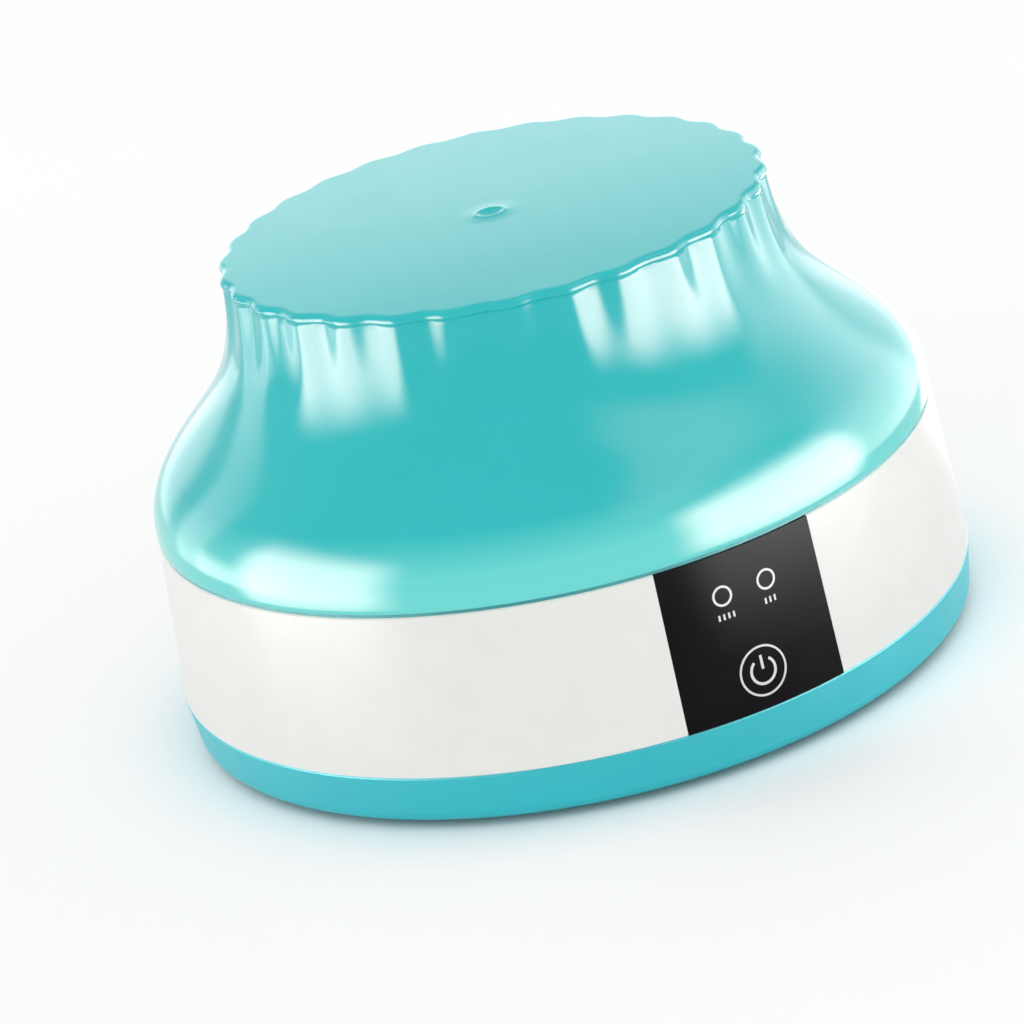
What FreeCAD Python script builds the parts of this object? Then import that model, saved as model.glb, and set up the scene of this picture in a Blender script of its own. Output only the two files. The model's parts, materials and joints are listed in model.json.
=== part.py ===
import FreeCAD, Part
import math
import os
from FreeCAD import Vector

# Vibratory rock tumbler: a white drum housing on a round base, with a bell-shaped hood over a
# vibrating bowl. Millimetres, +Z up, origin on the floor under the centre of the body.
# Azimuths are degrees round +Z from the front (-Y) towards +X.

# ---------------------------------------------------------------- driving dimensions
# outside
foot_proud = 1.6            # how far the rubber feet hold the base off the table
base_height = 11.4
base_radius = 90.0          # where the base meets the band
base_taper = 1.2            # the base is this much narrower at its rounded bottom edge
base_edge_round = 3.0
band_height = 36.6
band_taper = 2.3            # the band is this much narrower at its top
band_wall = 2.5
edge_chamfer = 0.3          # the fine break on the edges that meet at a seam
seal_thickness = 0.8
seal_setback = 0.5          # the seal stays this far inside the band's outer edge
hood_height = 57.0
hood_wall = 3.0
neck_radius = 61.0
bell_height = 39.16         # height over which the hood's flare dies away
bell_power = 2.585          # how square the shoulder above the rim is
bell_fall = 3.1475          # how fast the flare turns into the neck
flute_count = 30
flute_depth = 1.4
flute_run = 20.0            # length of the flutes, from the top down
lip_height = 2.2            # the thicker edge of the hood's top
lip_proud = 0.35
lip_round = 1.4
gate_radius = 3.0           # the round dimple in the middle of the top
gate_depth = 0.8
gate_rim_width = 1.2
gate_rim_height = 0.2
gate_root = 0.5             # how far the dimple's rim is set into the top

# base and deck
floor_thickness = 2.5
base_spigot_height = 4.0
base_spigot_wall = 1.8
notch_gap = 1.0             # the base's spigot is cut away this far round the inlet's seat
foot_radius = 8.0
foot_recess = 1.0
foot_chamfer = 0.5
foot_inset = 18.0           # foot centres inside the base's widest edge
fit_gap = 0.15              # sliding fit between mouldings that locate each other
deck_drop = 1.6             # the deck's top lies this far under the band's top
deck_thickness = 2.0
deck_gap = 4.0              # between the bowl's flange and the deck's opening
collar_height = 8.0
collar_wall = 2.0
ledge_height = 2.0
ledge_width = 2.6
post_inset = 16.0           # screw posts inside the base's widest edge
post_radius = 4.5
boss_height = 7.9
boss_margin = 0.5           # the base's bosses are this much wider than the deck's posts
notch_depth = 1.0           # how far the spigot's notches reach past its inner face
screw_radius = 1.5
screw_length = 18.0
screw_head_radius = 3.0
screw_head_height = 2.4
screw_head_depth = 4.0      # how deep the heads sit in the base
screw_head_gap = 0.2        # round a head in its hole
cross_width = 1.0           # the cross slot in a screw's head
cross_reach = 2.2
cross_depth = 1.0
vent_count = 8
vent_inner = 14.0
vent_outer = 26.0
vent_width = 3.0

# bayonet between the deck and the hood
rib_rise = 7.0              # top of the ribs above the deck
rib_height = 2.0
rib_reach = 1.6
spigot_wall = 2.0
lock_gap = 0.4
lug_count = 3
lug_width = 14.0            # degrees
rib_width = 24.0            # degrees
lock_turn = 22.0            # degrees from open to locked
lug_azimuth = 60.0
stop_width = 2.5            # degrees
lug_root = 1.0              # how far a lug runs into the hood's wall

# motor, weight and suspension
weight_floor_gap = 5.9
weight_thickness = 7.0
weight_radius = 14.0
weight_hub_radius = 5.0
weight_motor_gap = 3.0
motor_length = 20.0
motor_radius = 18.0
motor_edge_round = 1.5
terminal_reach = 2.5
terminal_width = 2.0
terminal_thickness = 0.6
terminal_spread = 3.0       # each terminal's middle from the lead's line
shaft_radius = 2.0
shaft_gap = 0.05            # running clearance in the bush
bush_radius = 4.0
bush_length = 5.0
shaft_stub = 1.0            # shaft end below the weight
shaft_setback = 0.5         # the shaft's top end inside the bush
motor_screw_circle = 13.0
motor_screw_count = 3
motor_screw_radius = 1.5
motor_screw_head = 2.6
motor_screw_head_height = 1.6
motor_screw_depth = 5.0
grub_radius = 1.2
grub_setback = 0.3          # the grub screw's end inside the hub's surface
plate_thickness = 2.0
plate_gap = 10.6            # between the drive plate and the deck's opening
spring_inset = 13.8         # spring axes inside the drive plate's edge
spring_coil_radius = 5.0
spring_wire = 1.2
spring_turns = 6
seat_radius = 7.5
seat_thickness = 2.0
seat_spigot_gap = 0.5
seat_spigot_height = 3.0
seat_post_radius = 8.0
seat_post_height = 1.9

# bowl and its clamp
cushion_thickness = 2.0
cushion_inner = 22.0
cushion_margin = 3.0        # the cushion ends this far inside the bowl's flat underside
bowl_height = 40.0
bowl_wall = 2.5
bowl_gap = 4.0              # between the bowl's flange and the hood
bowl_flange_width = 3.0
bowl_flange_thickness = 2.2
bowl_flange_round = 0.8
bowl_slope = 5.0            # the bowl is this much narrower at its floor
bowl_floor_round = 8.0
hub_height = 28.0
hub_top_radius = 10.0
hub_base_radius = 19.0
hub_root_round = 4.0
stud_radius = 3.0
stud_flange_radius = 8.0
stud_flange_thickness = 1.5
stud_hole_gap = 0.3
stud_engagement = 8.5
stud_chamfer = 0.6
washer_radius = 9.5
washer_thickness = 1.2
knob_radius = 13.0
knob_height = 12.0
knob_lobes = 6
knob_scallop_radius = 5.0
knob_scallop_circle = 16.5
knob_round = 1.5
insert_radius = 5.0
insert_length = 10.0
thread_gap = 0.05

# control panel and board
panel_angle = 25.0          # degrees of the band that the panel takes up
panel_thickness = 1.5
panel_gap = 0.1
led_azimuth = 3.5
led_below_top = 9.15
led_ring_radius = 2.3
led_ring_width = 0.5
guide_radius = 1.5
guide_gap = 0.1
power_above_bottom = 8.5
power_ring_radius = 5.65
power_ring_width = 0.45
power_icon_radius = 3.2
power_icon_width = 0.6
power_icon_gap = 38.0       # half of the icon's open angle
power_bar_low = 0.4         # the icon's bar, up from its middle
power_bar_high = 3.5
legend_thickness = 0.12
caption_drop = 4.6          # middle of the caption bars under each lamp
caption_bar = (0.45, 1.3)   # width and height of one bar
caption_pitch = 1.15
touch_pad_radius = 5.5
touch_pad_gap = 0.5
board_inset = 18.0          # front face of the board inside the base's widest edge
board_thickness = 1.6
board_half_width = 17.0
board_floor_gap = 2.0
board_deck_gap = 1.0
board_screw_inset = 4.0
board_post_radius = 2.6
post_setback = 0.5          # the board's posts start this far behind the panel
board_screw_radius = 1.1
board_screw_hole = 8.0      # depth of the holes in the posts
board_screw_gap = 1.0       # the screws end this far short of their holes' ends
board_screw_head = 2.0
board_screw_head_height = 1.4
lamp_size = 3.0
lamp_height = 1.6
socket_size = (8.0, 6.0)    # width and height of what stands on the board's back
socket_depth = 4.4
plug_size = (6.6, 4.6)
plug_depth = 5.0
motor_plug_place = (0.0, 15.5)      # across, and up from the board's bottom edge
inlet_plug_place = (-5.0, 6.5)
chip_place = (-9.0, 13.5)
chip_size = (8.0, 6.5)
chip_depth = 1.8
capacitor_place = (11.0, 12.5)
capacitor_radius = 3.6
capacitor_height = 9.0
capacitor_round = 0.6

# power inlet and leads
inlet_above_bottom = 12.0
inlet_face_depth = 3.25     # how deep the inlet's seat is cut into the band
inlet_recess_radius = 8.0
inlet_boss_radius = 10.5
inlet_boss_wall = 2.6
inlet_seat_setback = 0.5    # the inlet's seat ends this far inside the band's outside
inlet_flange_radius = 7.0
inlet_flange_thickness = 1.8
inlet_barrel_radius = 5.5
inlet_barrel_length = 13.0
inlet_bore_radius = 2.85
inlet_bore_depth = 9.5
inlet_pin_radius = 1.05
inlet_pin_recess = 0.5
inlet_pin_round = 0.4
locknut_radius = 8.2
locknut_thickness = 2.2
tag_length = 4.0
tag_width = 2.4
tag_thickness = 0.6
tag_spread = 2.4            # each tag's middle from the inlet's axis
lead_radius = 1.6
lead_sag = 6.0              # of the slack motor lead
arc_share = 0.45            # share of the shorter run that an arc takes

# ---------------------------------------------------------------- heights that follow
base_bottom = foot_proud
band_bottom = base_bottom + base_height
band_top = band_bottom + band_height
hood_rim = band_top + seal_thickness
hood_top = hood_rim + hood_height
floor_top = base_bottom + floor_thickness
deck_top = band_top - deck_drop
deck_bottom = deck_top - deck_thickness
boss_top = floor_top + boss_height
weight_bottom = floor_top + weight_floor_gap
weight_top = weight_bottom + weight_thickness
motor_bottom = weight_top + weight_motor_gap
plate_bottom = motor_bottom + motor_length
plate_top = plate_bottom + plate_thickness
spring_bottom = floor_top + seat_post_height + seat_thickness
spring_top = plate_bottom - seat_thickness
bowl_seat = plate_top + cushion_thickness
bowl_rim = bowl_seat + bowl_height
hub_top = bowl_seat + hub_height
knob_bottom = hub_top + washer_thickness
led_height = band_top - led_below_top
power_height = band_bottom + power_above_bottom
inlet_height = band_bottom + inlet_above_bottom
board_bottom = band_bottom + board_floor_gap
board_top = deck_bottom - board_deck_gap
terminal_height = board_bottom + motor_plug_place[1]
board_setback = base_radius - board_inset
board_back = board_setback - board_thickness
plug_front = socket_depth + plug_depth
foot_circle = base_radius - foot_inset
post_circle = base_radius - post_inset


def band_radius(z):
    """Outer radius of the tapered band at a height."""
    return base_radius - band_taper * (z - band_bottom) / band_height


hood_rim_radius = band_radius(band_top) + 0.1


def bell(height):
    """Flare of the hood above its rim, from 1 at the rim to almost 0 at the neck."""
    return (1.0 + (height / bell_height) ** bell_power) ** -bell_fall


def hood_radius(z):
    """Outer radius of the hood at a height, without its flutes."""
    flare = (bell(z - hood_rim) - bell(hood_height)) / (1.0 - bell(hood_height))
    return neck_radius + (hood_rim_radius - neck_radius) * flare


def hood_inside(z):
    """Inner radius of the hood at a height."""
    return hood_radius(z) - hood_wall


bowl_flange_radius = hood_inside(bowl_rim) - bowl_gap
bowl_radius = bowl_flange_radius - bowl_flange_width
cushion_outer = bowl_radius - bowl_slope - bowl_floor_round - cushion_margin
deck_opening = bowl_flange_radius + deck_gap
plate_radius = deck_opening - plate_gap
spring_circle = plate_radius - spring_inset
rib_top = deck_top + rib_rise
rib_bottom = rib_top - rib_height
rib_radius = hood_inside(rib_top) - lock_gap
spigot_radius = rib_radius - rib_reach
lug_radius = spigot_radius + lock_gap
inlet_face = band_radius(inlet_height) - inlet_face_depth
inlet_back = inlet_face - inlet_barrel_length
bush_bore = shaft_radius + shaft_gap


# ---------------------------------------------------------------- helpers
def polar(radius, azimuth, z=0.0):
    angle = math.radians(azimuth)
    return Vector(radius * math.sin(angle), -radius * math.cos(angle), z)


def cylinder(radius, low, high, place=Vector(0, 0, 0)):
    return Part.makeCylinder(radius, high - low, Vector(place.x, place.y, low))


def ring(inner, outer, low, high, place=Vector(0, 0, 0)):
    return cylinder(outer, low, high, place).cut(cylinder(inner, low, high, place))


def cone(low_radius, high_radius, low, high):
    return Part.makeCone(low_radius, high_radius, high - low, Vector(0, 0, low))


def along_y(radius, front, back, x, z):
    """A rod parallel to Y, from front to back."""
    return Part.makeCylinder(radius, back - front, Vector(x, front, z), Vector(0, 1, 0))


def box(low, high):
    size = Vector(*high) - Vector(*low)
    return Part.makeBox(size.x, size.y, size.z, Vector(*low))


def lathe(points, start=0.0, sweep=360.0):
    """Turns a closed outline of (radius, height) points round Z, from an azimuth."""
    outline = [polar(radius, start, z) for radius, z in points]
    face = Part.Face(Part.makePolygon(outline + outline[:1]))
    return face.revolve(Vector(0, 0, 0), Vector(0, 0, 1), sweep)


def sector(inner, outer, low, high, middle, width):
    """A piece of a ring, width degrees wide about its middle azimuth."""
    outline = [(inner, low), (outer, low), (outer, high), (inner, high)]
    return lathe(outline, middle - width / 2, width)


def band_skin(inset, outset, low, high, middle=0.0, width=360.0):
    """A skin that follows the band's outside, from inset below it to outset above it."""
    outline = [(band_radius(low) - inset, low), (band_radius(low) + outset, low),
               (band_radius(high) + outset, high), (band_radius(high) - inset, high)]
    return lathe(outline, middle - width / 2, width)


def band_core(inset):
    """Everything inside the band's outside less an inset."""
    return cone(band_radius(band_bottom) - inset, band_radius(band_top) - inset,
                band_bottom, band_top)


def four_round(radius, first=45.0):
    return [polar(radius, first + 90.0 * k) for k in range(4)]


def group(solids):
    return Part.makeCompound(solids)


def rim_edges(shape, radius, z, slack=0.05):
    """The round edges of a shape that lie at one height and radius."""
    found = []
    for edge in shape.Edges:
        frame = edge.BoundBox
        flat = abs(frame.ZMin - z) < slack and abs(frame.ZMax - z) < slack
        if flat and abs(frame.XMax - radius) < slack:
            found.append(edge)
    return found


def fluted_wire(radius, depth, z):
    """A round outline with shallow flutes cut into it, four points to each flute."""
    count = 4 * flute_count
    points = []
    for k in range(count):
        turn = 2.0 * math.pi * k / count
        sunk = depth * (1.0 - math.cos(flute_count * turn)) / 2.0
        points.append(polar(radius - sunk, math.degrees(turn), z))
    curve = Part.BSplineCurve()
    curve.interpolate(points, PeriodicFlag=True)
    return Part.Wire([curve.toShape()])


def lead(points):
    """A round lead along straight runs joined by tangent arcs."""
    points = [Vector(*point) for point in points]
    edges = []
    start = points[0]
    for before, corner, after in zip(points, points[1:], points[2:]):
        back = before - corner
        ahead = after - corner
        reach = arc_share * min(back.Length, ahead.Length)
        back.normalize()
        ahead.normalize()
        enter = corner + back * reach
        leave = corner + ahead * reach
        half_turn = (math.pi - back.getAngle(ahead)) / 2.0
        radius = reach / math.tan(half_turn)
        inward = (back + ahead).normalize()
        middle = corner + inward * (radius / math.cos(half_turn) - radius)
        edges.append(Part.LineSegment(start, enter).toShape())
        edges.append(Part.Arc(enter, middle, leave).toShape())
        start = leave
    edges.append(Part.LineSegment(start, points[-1]).toShape())
    path = Part.Wire(edges)
    section = Part.Wire([Part.makeCircle(lead_radius, points[0], points[1] - points[0])])
    return path.makePipeShell([section], True, True)


# ---------------------------------------------------------------- base
def base_cover():
    low_radius = base_radius - base_taper
    flat = low_radius - base_edge_round
    turn = base_edge_round * (1.0 - math.sqrt(0.5))
    corner = Part.Arc(Vector(flat, 0, base_bottom),
                      Vector(low_radius - turn, 0, base_bottom + turn),
                      Vector(low_radius, 0, base_bottom + base_edge_round)).toShape()
    spigot_top = band_bottom + base_spigot_height
    spigot_low = base_radius - band_wall - fit_gap
    spigot_high = band_radius(spigot_top) - band_wall - fit_gap
    inside = spigot_high - base_spigot_wall
    rest = [(low_radius, base_bottom + base_edge_round),
            (base_radius, band_bottom - edge_chamfer),
            (base_radius - edge_chamfer, band_bottom),
            (spigot_low, band_bottom),
            (spigot_high, spigot_top),
            (inside, spigot_top),
            (inside, floor_top),
            (0, floor_top),
            (0, base_bottom),
            (flat, base_bottom)]
    edges = [corner]
    for (r0, z0), (r1, z1) in zip(rest, rest[1:]):
        edges.append(Part.LineSegment(Vector(r0, 0, z0), Vector(r1, 0, z1)).toShape())
    face = Part.Face(Part.Wire(edges))
    shape = face.revolve(Vector(0, 0, 0), Vector(0, 0, 1), 360)
    for place in four_round(post_circle):
        shape = shape.fuse(cylinder(post_radius + boss_margin, floor_top, boss_top, place))
    for place in four_round(spring_circle):
        shape = shape.fuse(cylinder(seat_post_radius, floor_top, floor_top + seat_post_height, place))
    for place in four_round(post_circle):
        shape = shape.cut(cylinder(screw_radius, base_bottom, boss_top, place))
        head_room = base_bottom + screw_head_depth + screw_head_height
        shape = shape.cut(cylinder(screw_head_radius + screw_head_gap, base_bottom, head_room, place))
    for place in four_round(foot_circle, 0.0):
        shape = shape.cut(cylinder(foot_radius, base_bottom, base_bottom + foot_recess, place))
    gap_angle = 2.0 * math.degrees(math.asin((inlet_boss_radius + notch_gap) / spigot_high))
    for azimuth, width in ((0.0, panel_angle), (180.0, gap_angle)):
        shape = shape.cut(sector(inside - notch_depth, base_radius, band_bottom,
                                 spigot_top + notch_depth, azimuth, width))
    for k in range(vent_count):
        slot = box((vent_inner, -vent_width / 2, base_bottom), (vent_outer, vent_width / 2, floor_top))
        slot.rotate(Vector(0, 0, 0), Vector(0, 0, 1), 360.0 * (k + 0.5) / vent_count)
        shape = shape.cut(slot)
    return shape


def rubber_feet():
    feet = []
    for place in four_round(foot_circle, 0.0):
        foot = cylinder(foot_radius, 0.0, base_bottom + foot_recess, place)
        low_edge = [edge for edge in foot.Edges if edge.BoundBox.ZMax < 0.01]
        feet.append(foot.makeChamfer(foot_chamfer, low_edge))
    return group(feet)


def base_screws():
    head_low = base_bottom + screw_head_depth
    head_high = head_low + screw_head_height
    screws = []
    for place in four_round(post_circle):
        screw = cylinder(screw_head_radius, head_low, head_high, place)
        screw = screw.fuse(cylinder(screw_radius, head_high, head_low + screw_length, place))
        half = cross_width / 2
        deep = head_low + cross_depth
        slot = box((-half, -cross_reach, head_low), (half, cross_reach, deep))
        cross = slot.fuse(box((-cross_reach, -half, head_low), (cross_reach, half, deep)))
        cross.translate(Vector(place.x, place.y, 0))
        screws.append(screw.cut(cross))
    return group(screws)


# ---------------------------------------------------------------- housing
def board_holes():
    """Places of the board's four screws, as (x, z)."""
    side = board_half_width - board_screw_inset
    low = board_bottom + board_screw_inset
    high = board_top - board_screw_inset
    return [(side, low), (-side, low), (side, high), (-side, high)]


def led_places():
    reach = band_radius(led_height) * math.sin(math.radians(led_azimuth))
    return [-reach, reach]


def housing_band():
    low, high = band_bottom, band_top
    outline = [(band_radius(low) - edge_chamfer, low),
               (band_radius(low + edge_chamfer), low + edge_chamfer),
               (band_radius(high - edge_chamfer), high - edge_chamfer),
               (band_radius(high) - edge_chamfer, high),
               (band_radius(high) - band_wall, high),
               (band_radius(deck_bottom) - band_wall, deck_bottom),
               (band_radius(deck_bottom) - band_wall - ledge_width, deck_bottom),
               (band_radius(deck_bottom) - band_wall - ledge_width, deck_bottom - ledge_height),
               (band_radius(deck_bottom - ledge_height) - band_wall, deck_bottom - ledge_height),
               (band_radius(low) - band_wall, low)]
    shape = lathe(outline)
    inside = band_core(panel_thickness + post_setback)
    for x, z in board_holes():
        post = along_y(board_post_radius, -base_radius, -board_setback, x, z)
        shape = shape.fuse(post.common(inside))
    seat = along_y(inlet_boss_radius, inlet_face - inlet_boss_wall, base_radius, 0, inlet_height)
    shape = shape.fuse(seat.common(band_core(inlet_seat_setback)))
    shape = shape.cut(along_y(inlet_recess_radius, inlet_face, base_radius + 1, 0, inlet_height))
    shape = shape.cut(along_y(inlet_barrel_radius, inlet_back, base_radius, 0, inlet_height))
    shape = shape.cut(band_skin(panel_thickness, 1.0, low - 1.0, high + 1.0, 0.0, panel_angle))
    for x, z in board_holes():
        shape = shape.cut(along_y(board_screw_radius, -board_setback - board_screw_hole,
                                  -board_setback, x, z))
    for x in led_places():
        shape = shape.cut(along_y(guide_radius + guide_gap, -base_radius, -board_setback, x, led_height))
    return shape.cut(along_y(touch_pad_radius + touch_pad_gap, -base_radius, -board_setback,
                             0, power_height))


def splash_deck():
    edge = band_radius(deck_top) - band_wall - fit_gap
    collar = deck_opening + collar_wall
    collar_top = deck_top + collar_height
    outline = [(deck_opening, deck_bottom), (edge, deck_bottom), (edge, deck_top),
               (spigot_radius, deck_top), (spigot_radius, rib_top),
               (spigot_radius - spigot_wall, rib_top), (spigot_radius - spigot_wall, deck_top),
               (collar, deck_top), (collar, collar_top), (deck_opening, collar_top)]
    shape = lathe(outline)
    for place in four_round(post_circle):
        shape = shape.fuse(cylinder(post_radius, boss_top, deck_bottom, place))
    hole_top = base_bottom + screw_head_depth + screw_length
    for place in four_round(post_circle):
        shape = shape.cut(cylinder(screw_radius, boss_top, hole_top, place))
    root = spigot_radius - spigot_wall / 2
    for k in range(lug_count):
        locked = lug_azimuth + 360.0 / lug_count * k - lock_turn
        shape = shape.fuse(sector(root, rib_radius, rib_bottom, rib_top, locked, rib_width))
        end = locked - rib_width / 2 + stop_width / 2
        shape = shape.fuse(sector(root, rib_radius, deck_top, rib_bottom, end, stop_width))
    return shape


# ---------------------------------------------------------------- control panel
def control_panel():
    """The curved black window, flush with the band and as tall as the band."""
    gap_angle = math.degrees(panel_gap / base_radius)
    return band_skin(panel_thickness, 0.0, band_bottom + panel_gap, band_top - panel_gap,
                     0.0, panel_angle - 2.0 * gap_angle)


def open_ring(outer, width, x, z, gap=0.0):
    """A flat ring seen from the front, open by gap degrees each side of its top."""
    reach = 2.0 * base_radius
    shape = along_y(outer, -reach, 0, x, z).cut(along_y(outer - width, -reach, 0, x, z))
    if gap:
        side = 2.0 * outer * math.tan(math.radians(gap))
        corners = [Vector(x, -reach, z), Vector(x - side, -reach, z + 2.0 * outer),
                   Vector(x + side, -reach, z + 2.0 * outer)]
        wedge = Part.Face(Part.makePolygon(corners + corners[:1])).extrude(Vector(0, reach, 0))
        shape = shape.cut(wedge)
    return shape


def panel_legends():
    """Printed marks: a ring round each lamp, caption bars, and a power sign in a ring."""
    print_skin = band_skin(0.0, legend_thickness, band_bottom + panel_gap, band_top - panel_gap,
                           0.0, panel_angle)
    marks = []
    for x, bars in zip(led_places(), (4, 3)):
        marks.append(open_ring(led_ring_radius, led_ring_width, x, led_height))
        for k in range(bars):
            middle = x + caption_pitch * (k - (bars - 1) / 2)
            low = led_height - caption_drop - caption_bar[1] / 2
            marks.append(box((middle - caption_bar[0] / 2, -2 * base_radius, low),
                             (middle + caption_bar[0] / 2, 0, low + caption_bar[1])))
    marks.append(open_ring(power_ring_radius, power_ring_width, 0, power_height))
    marks.append(open_ring(power_icon_radius, power_icon_width, 0, power_height, power_icon_gap))
    half = power_icon_width / 2
    marks.append(box((-half, -2 * base_radius, power_height + power_bar_low),
                     (half, 0, power_height + power_bar_high)))
    solids = []
    for mark in marks:
        solids.extend(mark.common(print_skin).Solids)
    return group(solids)


def light_guides():
    inside = band_core(panel_thickness)
    lamp_face = -board_setback - lamp_height
    return group([along_y(guide_radius, -base_radius, lamp_face, x, led_height).common(inside)
                  for x in led_places()])


def touch_pad():
    pad = along_y(touch_pad_radius, -base_radius, -board_setback, 0, power_height)
    return pad.common(band_core(panel_thickness))


def control_board():
    shape = box((-board_half_width, -board_setback, board_bottom),
                (board_half_width, -board_back, board_top))
    for x, z in board_holes():
        shape = shape.cut(along_y(board_screw_radius, -board_setback, -board_back, x, z))
    return shape


def board_screws():
    screws = []
    for x, z in board_holes():
        screw = along_y(board_screw_radius, -board_setback - board_screw_hole + board_screw_gap,
                        -board_back, x, z)
        head = along_y(board_screw_head, -board_back, -board_back + board_screw_head_height, x, z)
        screws.append(screw.fuse(head))
    return group(screws)


def board_lamps():
    half = lamp_size / 2
    return group([box((x - half, -board_setback - lamp_height, led_height - half),
                      (x + half, -board_setback, led_height + half)) for x in led_places()])


def on_board(place, size, near, far):
    """A block behind the board, centred on its place, from near to far off the board's back."""
    x = place[0]
    z = board_bottom + place[1]
    return box((x - size[0] / 2, -board_back + near, z - size[1] / 2),
               (x + size[0] / 2, -board_back + far, z + size[1] / 2))


def board_sockets():
    return group([on_board(place, socket_size, 0.0, socket_depth)
                  for place in (motor_plug_place, inlet_plug_place)])


def motor_plug():
    return on_board(motor_plug_place, plug_size, socket_depth, plug_front)


def inlet_plug():
    return on_board(inlet_plug_place, plug_size, socket_depth, plug_front)


def driver_chip():
    return on_board(chip_place, chip_size, 0.0, chip_depth)


def smoothing_capacitor():
    end = -board_back + capacitor_height
    can = along_y(capacitor_radius, -board_back, end, capacitor_place[0],
                  board_bottom + capacitor_place[1])
    far_edge = [edge for edge in can.Edges if edge.BoundBox.YMin > end - 0.1]
    return can.makeFillet(capacitor_round, far_edge)


# ---------------------------------------------------------------- power inlet
def dc_inlet():
    mouth = inlet_face + inlet_flange_thickness
    shape = along_y(inlet_barrel_radius, inlet_back, inlet_face, 0, inlet_height)
    shape = shape.fuse(along_y(inlet_flange_radius, inlet_face, mouth, 0, inlet_height))
    return shape.cut(along_y(inlet_bore_radius, mouth - inlet_bore_depth, mouth, 0, inlet_height))


def inlet_pin():
    mouth = inlet_face + inlet_flange_thickness
    pin = along_y(inlet_pin_radius, mouth - inlet_bore_depth, mouth - inlet_pin_recess,
                  0, inlet_height)
    tip = [edge for edge in pin.Edges if edge.BoundBox.YMin > mouth - inlet_pin_recess - 0.1]
    return pin.makeFillet(inlet_pin_round, tip)


def inlet_locknut():
    back = inlet_face - inlet_boss_wall - locknut_thickness
    corners = []
    for k in range(7):
        angle = math.radians(60.0 * k)
        corners.append(Vector(locknut_radius * math.cos(angle), back,
                              inlet_height + locknut_radius * math.sin(angle)))
    nut = Part.Face(Part.makePolygon(corners)).extrude(Vector(0, locknut_thickness, 0))
    return nut.cut(along_y(inlet_barrel_radius, back, inlet_face, 0, inlet_height))


def inlet_tags():
    side = tag_width / 2
    half = tag_thickness / 2
    return group([box((x - side, inlet_back - tag_length, inlet_height - half),
                      (x + side, inlet_back, inlet_height + half))
                  for x in (-tag_spread, tag_spread)])


def inlet_lead():
    """Runs from the inlet round the left of the motor, on the floor, to the board."""
    x = inlet_plug_place[0]
    z = board_bottom + inlet_plug_place[1]
    side = -spring_circle - seat_radius
    low = floor_top + 2.0 * lead_radius
    start = inlet_back - tag_length
    return lead([(0, start, inlet_height),
                 (0, start - 8.0, inlet_height),
                 (side * 0.35, start - 18.0, low + 6.0),
                 (side * 0.8, start * 0.55, low),
                 (side, start * 0.15, low),
                 (side, -start * 0.2, low),
                 (side * 0.75, -start * 0.5, low + 2.0),
                 (x - 8.0, -board_back + plug_front + 16.0, z - 4.0),
                 (x, -board_back + plug_front + 8.0, z),
                 (x, -board_back + plug_front, z)])


def motor_lead():
    """A slack lead from the board to the motor's terminals, sagging in the middle."""
    x = motor_plug_place[0]
    start = -board_back + plug_front
    step = (-motor_radius - terminal_reach - start) / 5
    return lead([(x, start + step * k, terminal_height - sag)
                 for k, sag in enumerate((0.0, 0.0, lead_sag, lead_sag, 0.0, 0.0))])


# ---------------------------------------------------------------- drive unit
def spring_seats(face, end, toward):
    """Rubber seats on a face, each with a spigot that holds the spring's end."""
    spigot = spring_coil_radius - spring_wire / 2 - seat_spigot_gap
    seats = []
    for place in four_round(spring_circle):
        seat = cylinder(seat_radius, min(face, end), max(face, end), place)
        tip = end + toward * seat_spigot_height
        seats.append(seat.fuse(cylinder(spigot, min(end, tip), max(end, tip), place)))
    return group(seats)


def lower_spring_seats():
    return spring_seats(spring_bottom - seat_thickness, spring_bottom, 1)


def upper_spring_seats():
    return spring_seats(plate_bottom, spring_top, -1)


def coil_springs():
    length = spring_top - spring_bottom - spring_wire
    helix = Part.makeHelix(length / spring_turns, length, spring_coil_radius)
    section = Part.Wire([Part.makeCircle(spring_wire / 2, Vector(spring_coil_radius, 0, 0),
                                         Vector(0, 1, 0))])
    coil = Part.Wire(helix).makePipeShell([section], True, True)
    springs = []
    for place in four_round(spring_circle):
        spring = coil.copy()
        spring.translate(Vector(place.x, place.y, spring_bottom + spring_wire / 2))
        springs.append(spring)
    return group(springs)


def motor_screw_places():
    return [polar(motor_screw_circle, 360.0 / motor_screw_count * k)
            for k in range(motor_screw_count)]


def drive_plate():
    shape = cylinder(plate_radius, plate_bottom, plate_top)
    shape = shape.cut(cylinder(stud_radius, plate_bottom, plate_top))
    for place in motor_screw_places():
        shape = shape.cut(cylinder(motor_screw_radius, plate_bottom, plate_top, place))
    return shape


def vibration_motor():
    shape = cylinder(motor_radius, motor_bottom, plate_bottom)
    edge = [edge for edge in shape.Edges if edge.BoundBox.ZMax < motor_bottom + 0.01]
    shape = shape.makeFillet(motor_edge_round, edge)
    shape = shape.cut(cylinder(bush_radius, motor_bottom, motor_bottom + bush_length))
    for place in motor_screw_places():
        shape = shape.cut(cylinder(motor_screw_radius, plate_bottom - motor_screw_depth,
                                   plate_bottom, place))
    return shape


def motor_bush():
    return ring(bush_bore, bush_radius, motor_bottom, motor_bottom + bush_length)


def motor_terminals():
    can = cylinder(motor_radius, motor_bottom, plate_bottom)
    half = terminal_thickness / 2
    side = terminal_width / 2
    tags = []
    for x in (-terminal_spread, terminal_spread):
        tag = box((x - half, -motor_radius - terminal_reach, terminal_height - side),
                  (x + half, 0, terminal_height + side))
        tags.append(tag.cut(can))
    return group(tags)


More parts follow.
